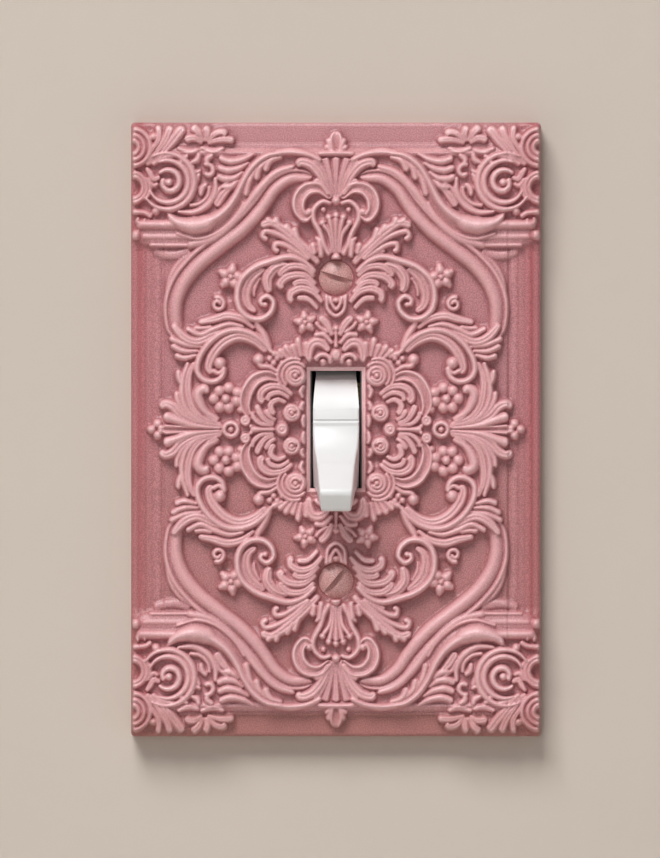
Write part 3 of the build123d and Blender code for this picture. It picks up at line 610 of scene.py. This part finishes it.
def plate_mesh():
    """The closed plate: carved face, screw seats, slot, side walls, rim, cavity and screw bosses."""
    x, z = np.meshgrid(np.concatenate([-XS[:0:-1], XS]), np.concatenate([-ZS[:0:-1], ZS]), indexing="ij")
    depth = mirrored(face_depth)
    from_screw = np.hypot(x, np.abs(z) - SCREW_Z)
    cx = 0.25 * (x[1:, 1:] + x[:-1, 1:] + x[1:, :-1] + x[:-1, :-1])
    cz = 0.25 * (z[1:, 1:] + z[:-1, 1:] + z[1:, :-1] + z[:-1, :-1])
    kept = ~((np.abs(cx) < SLOT_X) & (np.abs(cz) < SLOT_Z)) & (np.hypot(cx, np.abs(cz) - SCREW_Z) > HOLE)
    number = np.arange(x.size).reshape(x.shape)
    quads = np.stack([number[:-1, :-1], number[1:, :-1], number[1:, 1:], number[:-1, 1:]], -1)[kept]
    px, pz = rounded_outline(x, z)
    used, quads = np.unique(quads, return_inverse=True)
    corners = np.stack([px, -depth, pz], -1).reshape(-1, 3)[used] * MM
    mesh = bpy.data.meshes.new("carved_plate")
    mesh.from_pydata(corners.tolist(), [], quads.reshape(-1, 4).tolist())
    raised = np.clip(mirrored(carved), 0, 1)
    # painted shade towards the bottom, less on raised parts
    foot = np.maximum(fade(-z, FOOT_Z, 1) * (1 - 0.5 * raised),
                      LOWER_SHADE_SHARE * fade(-z, 0, LOWER_SHADE_FADE) * (1 - raised))
    for name, field in (("painted_highlight_shade", mirrored(painted_highlight_shade)), ("edge", mirrored(edge_tint)), ("foot", foot)):
        attribute = mesh.attributes.new(name, "FLOAT", "POINT")
        attribute.data.foreach_set("value", field.reshape(-1)[used].astype(np.float32))
    bm = bmesh.new()
    bm.from_mesh(mesh)
    loops = {"slot": [], "outer": [], "up": [], "down": []}
    for e in bm.edges:
        if len(e.link_faces) == 1:
            middle = 0.5 * (e.verts[0].co + e.verts[1].co) / MM
            mx, mz = middle.x, middle.z
            if math.hypot(mx, abs(mz) - SCREW_Z) < SINK:
                loops["up" if mz > 0 else "down"].append(e)
            elif abs(mx) < SLOT_X + 0.01 and abs(mz) < SLOT_Z + 0.01:
                loops["slot"].append(e)
            else:
                loops["outer"].append(e)
    cavity = []
    for name, side in (("up", 1), ("down", -1)):
        centre = side * SCREW_Z * MM

        def on_circle(vx, vz, radius, centre=centre):
            r = math.hypot(vx, vz - centre)
            return vx * radius * MM / r, centre + (vz - centre) * radius * MM / r
        for v in {v for e in loops[name] for v in e.verts}:
            v.co.x, v.co.z = on_circle(v.co.x, v.co.z, HOLE)
            v.co.y = -(PANEL - (SINK - HOLE) / SINK_SLOPE) * MM
        edges = extruded(bm, loops[name], -BOSS_END)
        edges = extruded(bm, edges, -BOSS_END, lambda vx, vz, f=on_circle: f(vx, vz, BOSS))
        cavity += extruded(bm, edges, -CAVITY)
    cavity += extruded(bm, loops["slot"], -CAVITY)
    edges = extruded(bm, loops["outer"], 0)
    fx, fz = (PLATE_X - RIM) / PLATE_X, (PLATE_Z - RIM) / PLATE_Z
    edges = extruded(bm, edges, 0, lambda vx, vz: (vx * fx, vz * fz))
    cavity += extruded(bm, edges, -CAVITY)
    bmesh.ops.triangle_fill(bm, edges=cavity, use_beauty=True, normal=(0, 1, 0))
    bmesh.ops.recalc_face_normals(bm, faces=bm.faces)
    for f in bm.faces:
        f.smooth = True
    for e in bm.edges:
        if len(e.link_faces) == 2 and e.calc_face_angle(0) > SHARP_EDGE:
            behind_face = max(v.co.y for v in e.verts) > -(PANEL - BEVEL - SLOT_FADE) * MM
            e.smooth = not behind_face
    layer = bm.loops.layers.uv.new("OFBake")
    for f in bm.faces:
        for corner in f.loops:
            co = corner.vert.co
            corner[layer].uv = (0.5 + co.x / UV_SPAN, 0.5 + co.z / UV_SPAN)
    bm.to_mesh(mesh)
    bm.free()
    return mesh


# ---------------------------------------------------------------- materials


class Shader:
    """A small helper for building one node material."""

    def __init__(self, name):
        self.material = bpy.data.materials.new(name)
        self.material.use_nodes = True
        self.tree = self.material.node_tree
        self.bsdf = self.tree.nodes["Principled BSDF"]

    def node(self, kind, **settings):
        made = self.tree.nodes.new(kind)
        for key, value in settings.items():
            setattr(made, key, value)
        return made

    def join(self, source, target):
        self.tree.links.new(source, target)

    def place(self):
        return self.node("ShaderNodeTexCoord").outputs["Object"]

    def noise(self, size, detail=3.0, stretch=(1, 1, 1), rough=0.6):
        """Noise whose features are about size millimetres across."""
        mapping = self.node("ShaderNodeMapping")
        mapping.inputs["Scale"].default_value = [s / (size * MM) for s in stretch]
        self.join(self.place(), mapping.inputs["Vector"])
        noise = self.node("ShaderNodeTexNoise")
        noise.inputs["Scale"].default_value = 1.0
        noise.inputs["Detail"].default_value = detail
        noise.inputs["Roughness"].default_value = rough
        self.join(mapping.outputs["Vector"], noise.inputs["Vector"])
        return noise.outputs["Fac"]

    def ramp(self, value, *stops):
        ramp = self.node("ShaderNodeValToRGB")
        elements = ramp.color_ramp.elements
        while len(elements) < len(stops):
            elements.new(0.5)
        for element, (position, colour) in zip(elements, stops):
            element.position = position
            element.color = (*colour, 1)
        self.join(value, ramp.inputs["Fac"])
        return ramp.outputs["Color"]

    def remap(self, value, low, high, to_low, to_high):
        remap = self.node("ShaderNodeMapRange")
        for socket, number in zip(("From Min", "From Max", "To Min", "To Max"), (low, high, to_low, to_high)):
            remap.inputs[socket].default_value = number
        self.join(value, remap.inputs["Value"])
        return remap.outputs["Result"]

    def mix(self, a, b, factor, blend="MIX"):
        mix = self.node("ShaderNodeMix", data_type="RGBA", blend_type=blend)
        for name, value in (("A_Color", a), ("B_Color", b), ("Factor_Float", factor)):
            socket = next(s for s in mix.inputs if s.identifier == name)
            if isinstance(value, bpy.types.NodeSocket):
                self.join(value, socket)
            elif name == "Factor_Float":
                socket.default_value = value
            else:
                socket.default_value = (*value, 1)
        return next(s for s in mix.outputs if s.identifier == "Result_Color")

    def bump(self, value, depth, strength=1.0):
        """A bump of depth millimetres."""
        bump = self.node("ShaderNodeBump")
        bump.inputs["Strength"].default_value = strength
        bump.inputs["Distance"].default_value = depth * MM
        self.join(value, bump.inputs["Height"])
        self.join(bump.outputs["Normal"], self.bsdf.inputs["Normal"])

    def set(self, **sockets):
        for name, value in sockets.items():
            self.bsdf.inputs[name.replace("_", " ")].default_value = value
        return self


def grey(value):
    return (value, value, value)


GRAIN_SIZE, GRAIN_DEPTH, CLOUD_SIZE = 0.24, 0.08, 9


def pink(name, carved_piece):
    """Dusty pink paint with a fine grain, with a painted highlight on the crests and painted shade in the
    hollows.
    """
    s = Shader(name)
    grain = s.noise(GRAIN_SIZE, 2.0)
    cloud = s.noise(CLOUD_SIZE, 3.0)
    if carved_piece:
        painted_highlight_shade_value = s.node("ShaderNodeAttribute", attribute_name="painted_highlight_shade").outputs["Fac"]
        # painted shade and highlight: deep dark red in the hollows, near-white pink on the crests
        colour = s.ramp(painted_highlight_shade_value, (0.0, (0.36, 0.10, 0.115)), (0.32, (0.61, 0.255, 0.275)),
                        (0.6, (0.80, 0.41, 0.425)), (1.0, (0.98, 0.62, 0.635)))
        edge_value = s.node("ShaderNodeAttribute", attribute_name="edge").outputs["Fac"]
        colour = s.mix(colour, (0.50, 0.11, 0.125), edge_value)
        # painted shade, a darker brown, towards the bottom
        painted_foot_shade = s.node("ShaderNodeAttribute", attribute_name="foot").outputs["Fac"]
        colour = s.mix(colour, (0.44, 0.16, 0.135), s.remap(painted_foot_shade, 0, 1, 0, 0.8))
    else:
        # the screws' pink is a paler copy of the plate's: painted light that offsets the shade of their seats
        colour = s.ramp(s.noise(3, 3.0), (0.3, (0.70, 0.36, 0.345)), (0.7, (0.82, 0.44, 0.42)))
    colour = s.mix(colour, s.ramp(cloud, (0.3, grey(0.88)), (0.7, grey(1.0))), 0.6, "MULTIPLY")
    grainy = s.remap(painted_highlight_shade_value, 0.36, 0.6, 0.75, 0.3) if carved_piece else 0.75
    colour = s.mix(colour, s.ramp(grain, (0.42, grey(0.5)), (0.6, grey(1.0))), grainy, "MULTIPLY")
    s.join(colour, s.bsdf.inputs["Base Color"])
    s.join(s.remap(grain, 0.3, 0.7, 0.3, 0.44), s.bsdf.inputs["Roughness"])
    s.bump(grain, GRAIN_DEPTH, 0.8)
    s.set(Specular_IOR_Level=0.6)
    return s.material


def plastic(name, low, high, roughness, grain=0.6, depth=0.01, mottle=6):
    """Moulded plastic: slight shifts of shade, fine grain."""
    s = Shader(name)
    fine = s.noise(grain, 2.0)
    s.join(s.ramp(s.noise(mottle, 3.0), (0.3, low), (0.7, high)), s.bsdf.inputs["Base Color"])
    s.join(s.remap(fine, 0.3, 0.7, roughness - 0.05, roughness + 0.05), s.bsdf.inputs["Roughness"])
    s.bump(fine, depth, 0.5)
    return s.material


def metal(name, low, high, roughness, stretch=(1, 1, 6), depth=0.006):
    """Plain or plated metal with faint rolling lines and patches."""
    s = Shader(name)
    lines = s.noise(0.8, 3.0, stretch)
    s.join(s.ramp(s.noise(5, 4.0), (0.3, low), (0.7, high)), s.bsdf.inputs["Base Color"])
    s.join(s.remap(lines, 0.3, 0.7, roughness - 0.08, roughness + 0.1), s.bsdf.inputs["Roughness"])
    s.bump(lines, depth, 0.5)
    s.set(Metallic=1.0)
    return s.material


finishes = {
    "pink_cast": pink("pink_cast_look", True),
    "pink_screw": pink("pink_screw_look", False),
    "white_lever": plastic("white_lever_look", grey(0.74), grey(0.78), 0.36, 1.5, 0.004, 12),
    "zinc_steel": metal("zinc_look", (0.52, 0.53, 0.54), (0.68, 0.68, 0.66), 0.3),
    "green_screw": metal("green_look", (0.03, 0.20, 0.08), (0.05, 0.30, 0.12), 0.35),
    "cover_plastic": plastic("cover_look", (0.10, 0.12, 0.11), (0.14, 0.165, 0.15), 0.5, 0.5, 0.02),
    "base_plastic": plastic("base_look", grey(0.025), grey(0.045), 0.45, 0.5, 0.02),
    "brass": metal("brass_look", (0.62, 0.42, 0.16), (0.78, 0.58, 0.25), 0.28),
    "silver": metal("silver_look", grey(0.72), grey(0.82), 0.25),
    "fibre": plastic("fibre_look", (0.30, 0.09, 0.06), (0.40, 0.14, 0.09), 0.75, 0.4, 0.03, 2),
    "pad_rubber": plastic("rubber_look", grey(0.02), grey(0.035), 0.8, 0.4, 0.02),
}
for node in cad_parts.values():
    for holder in node.material_slots:
        holder.material = finishes[holder.material.name.split(".")[0]]

plate = link("carved_plate", plate_mesh(), "housing", "pink_cast", "plate")
plate.data.materials.append(finishes["pink_cast"])

LEVER_SHARP, LEVER_FRONT, LEVER_ROUND = math.radians(60), 6.5, 0.5  # which edges are rounded, and how far
LEVER_SHADE_SHARP = math.radians(28)
LEVER_FACING = 0.45                     # a point whose normal leans this far forward is on the front
LEVER_TIP_Y, LEVER_TIP_Z, LEVER_TIP_TAPER = 12.0, 10.0, 0.022
# heights in mm of the lines cut across the lever's front, and how far each is raised
LEVER_RIB = ((9.9, 0.1), (9.5, -0.12), (8.6, 0), (4.2, 0), (1.75, -0.3), (1.3, 0.12), (1.0, 0.08), (0.6, -0.1),
             (-6.9, 0.12), (-7.1, 0))
SAME_POINT = 1e-6


def lever_mesh():
    """The lever's CAD shape with its handle's edges rounded over and a rib across its front."""
    bm = bmesh.new()
    bm.from_mesh(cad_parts["toggle_lever"].data)
    bmesh.ops.remove_doubles(bm, verts=bm.verts, dist=SAME_POINT)
    bmesh.ops.dissolve_limit(bm, angle_limit=math.radians(0.5), verts=bm.verts, edges=bm.edges)
    edges = [e for e in bm.edges if len(e.link_faces) == 2 and e.calc_face_angle(0) > LEVER_SHARP
             and max(v.co.y for v in e.verts) < -LEVER_FRONT * MM]
    bmesh.ops.bevel(bm, geom=edges, offset=LEVER_ROUND * MM, segments=4, profile=0.5, affect="EDGES",
                    clamp_overlap=False)
    for z, _ in LEVER_RIB:
        bmesh.ops.bisect_plane(bm, geom=[*bm.verts, *bm.edges, *bm.faces], dist=0.1 * SAME_POINT,
                               plane_co=(0, 0, z * MM), plane_no=(0, 0, 1))
    bm.normal_update()
    for v in bm.verts:
        if v.co.y < 0 and v.normal.y < -LEVER_FACING:
            for z, rise in LEVER_RIB:
                if abs(v.co.z - z * MM) < SAME_POINT:
                    v.co.y -= rise * MM
        if v.co.y < -LEVER_TIP_Y * MM:
            v.co.x *= 1 - LEVER_TIP_TAPER * max(0, -v.co.z / MM - LEVER_TIP_Z)
    for f in bm.faces:
        f.smooth = True
    bm.normal_update()
    for e in bm.edges:
        e.smooth = len(e.link_faces) == 2 and e.calc_face_angle(0) < LEVER_SHADE_SHARP
    return bm


lever = link("moulded_lever", lever_mesh(), "lever", "white_lever", "toggle_lever")
lever.data.materials.append(finishes["white_lever"])

# ---------------------------------------------------------------- wall, floor, lights and camera


def stage_sheet(name, corners, faces, colour_low, colour_high, see_through_back):
    """A flat backdrop sheet with a faintly uneven matt paint."""
    mesh = bpy.data.meshes.new(name)
    mesh.from_pydata(corners, [], faces)
    sheet = bpy.data.objects.new(name, mesh)
    bpy.context.scene.collection.objects.link(sheet)
    s = Shader(name + "_look")
    s.join(s.ramp(s.noise(60, 3.0), (0.3, colour_low), (0.7, colour_high)), s.bsdf.inputs["Base Color"])
    s.bump(s.noise(1.2, 2.0), 0.03, 0.4)
    s.set(Roughness=0.9, Specular_IOR_Level=0.2)
    if see_through_back:
        clear = s.node("ShaderNodeBsdfTransparent")
        choose = s.node("ShaderNodeMixShader")
        s.join(s.node("ShaderNodeNewGeometry").outputs["Backfacing"], choose.inputs["Fac"])
        s.join(s.bsdf.outputs["BSDF"], choose.inputs[1])
        s.join(clear.outputs["BSDF"], choose.inputs[2])
        s.join(choose.outputs["Shader"], s.tree.nodes["Material Output"].inputs["Surface"])
    mesh.materials.append(s.material)


WALL, FLOOR_Z, FLOOR = 0.45, -0.25, 1.2
WALL_GAP = 0.05 * MM     # keeps the sheet off the plate's back edge
BOX_X, BOX_Z = (PLATE_X - 0.5 * RIM) * MM, (PLATE_Z - 0.5 * RIM) * MM
ring_corners = [(sx * w, WALL_GAP, sz * h) for w, h in ((WALL, WALL), (BOX_X, BOX_Z))
                for sx, sz in ((-1, -1), (1, -1), (1, 1), (-1, 1))]
stage_sheet("wall", [(x, y, max(z, FLOOR_Z)) for x, y, z in ring_corners],
            [(a, (a + 1) % 4, 4 + (a + 1) % 4, 4 + a) for a in range(4)],
            (0.600, 0.525, 0.463), (0.612, 0.535, 0.472), True)
stage_sheet("floor", [(-FLOOR, -FLOOR, FLOOR_Z), (FLOOR, -FLOOR, FLOOR_Z), (FLOOR, FLOOR, FLOOR_Z),
                      (-FLOOR, FLOOR, FLOOR_Z)], [(0, 1, 2, 3)], (0.62, 0.60, 0.57), (0.66, 0.64, 0.61), False)


def area_light(name, place, watts, size, colour=(1, 1, 1)):
    """A square softbox aimed at the plate."""
    data = bpy.data.lights.new(name, "AREA")
    data.energy, data.size, data.color = watts, size, colour
    lamp = bpy.data.objects.new(name, data)
    lamp.location = place
    lamp.rotation_euler = (-Vector(place)).to_track_quat("-Z", "Y").to_euler()
    bpy.context.scene.collection.objects.link(lamp)


area_light("key", (-0.58, -1.46, 1.84), 56.0, 1.1)
area_light("front", (-0.30, -2.4, 0.5), 4.0, 1.1)
area_light("back_left", (-0.7, 0.9, 0.5), 9.0, 0.7)
area_light("back_right", (0.8, 0.7, 0.3), 6.0, 0.7)

world = bpy.data.worlds.new("studio")
world.use_nodes = True
world.node_tree.nodes["Background"].inputs["Color"].default_value = (1.0, 0.985, 0.97, 1)
world.node_tree.nodes["Background"].inputs["Strength"].default_value = 0.17
bpy.context.scene.world = world
bpy.context.scene.view_settings.view_transform = "Standard"

VIEW_HEIGHT, DISTANCE, SENSOR = 0.1707, 1.5, 36.0
camera = bpy.data.objects.new("camera", bpy.data.cameras.new("camera"))
camera.data.sensor_width = SENSOR
camera.data.lens = SENSOR * (DISTANCE - PANEL * MM) / VIEW_HEIGHT
camera.data.clip_start, camera.data.clip_end = 0.05, 10
camera.location = (-0.0012, -DISTANCE, 0.0001)
camera.rotation_euler = (math.radians(90), 0, 0)
bpy.context.scene.collection.objects.link(camera)
bpy.context.scene.camera = camera
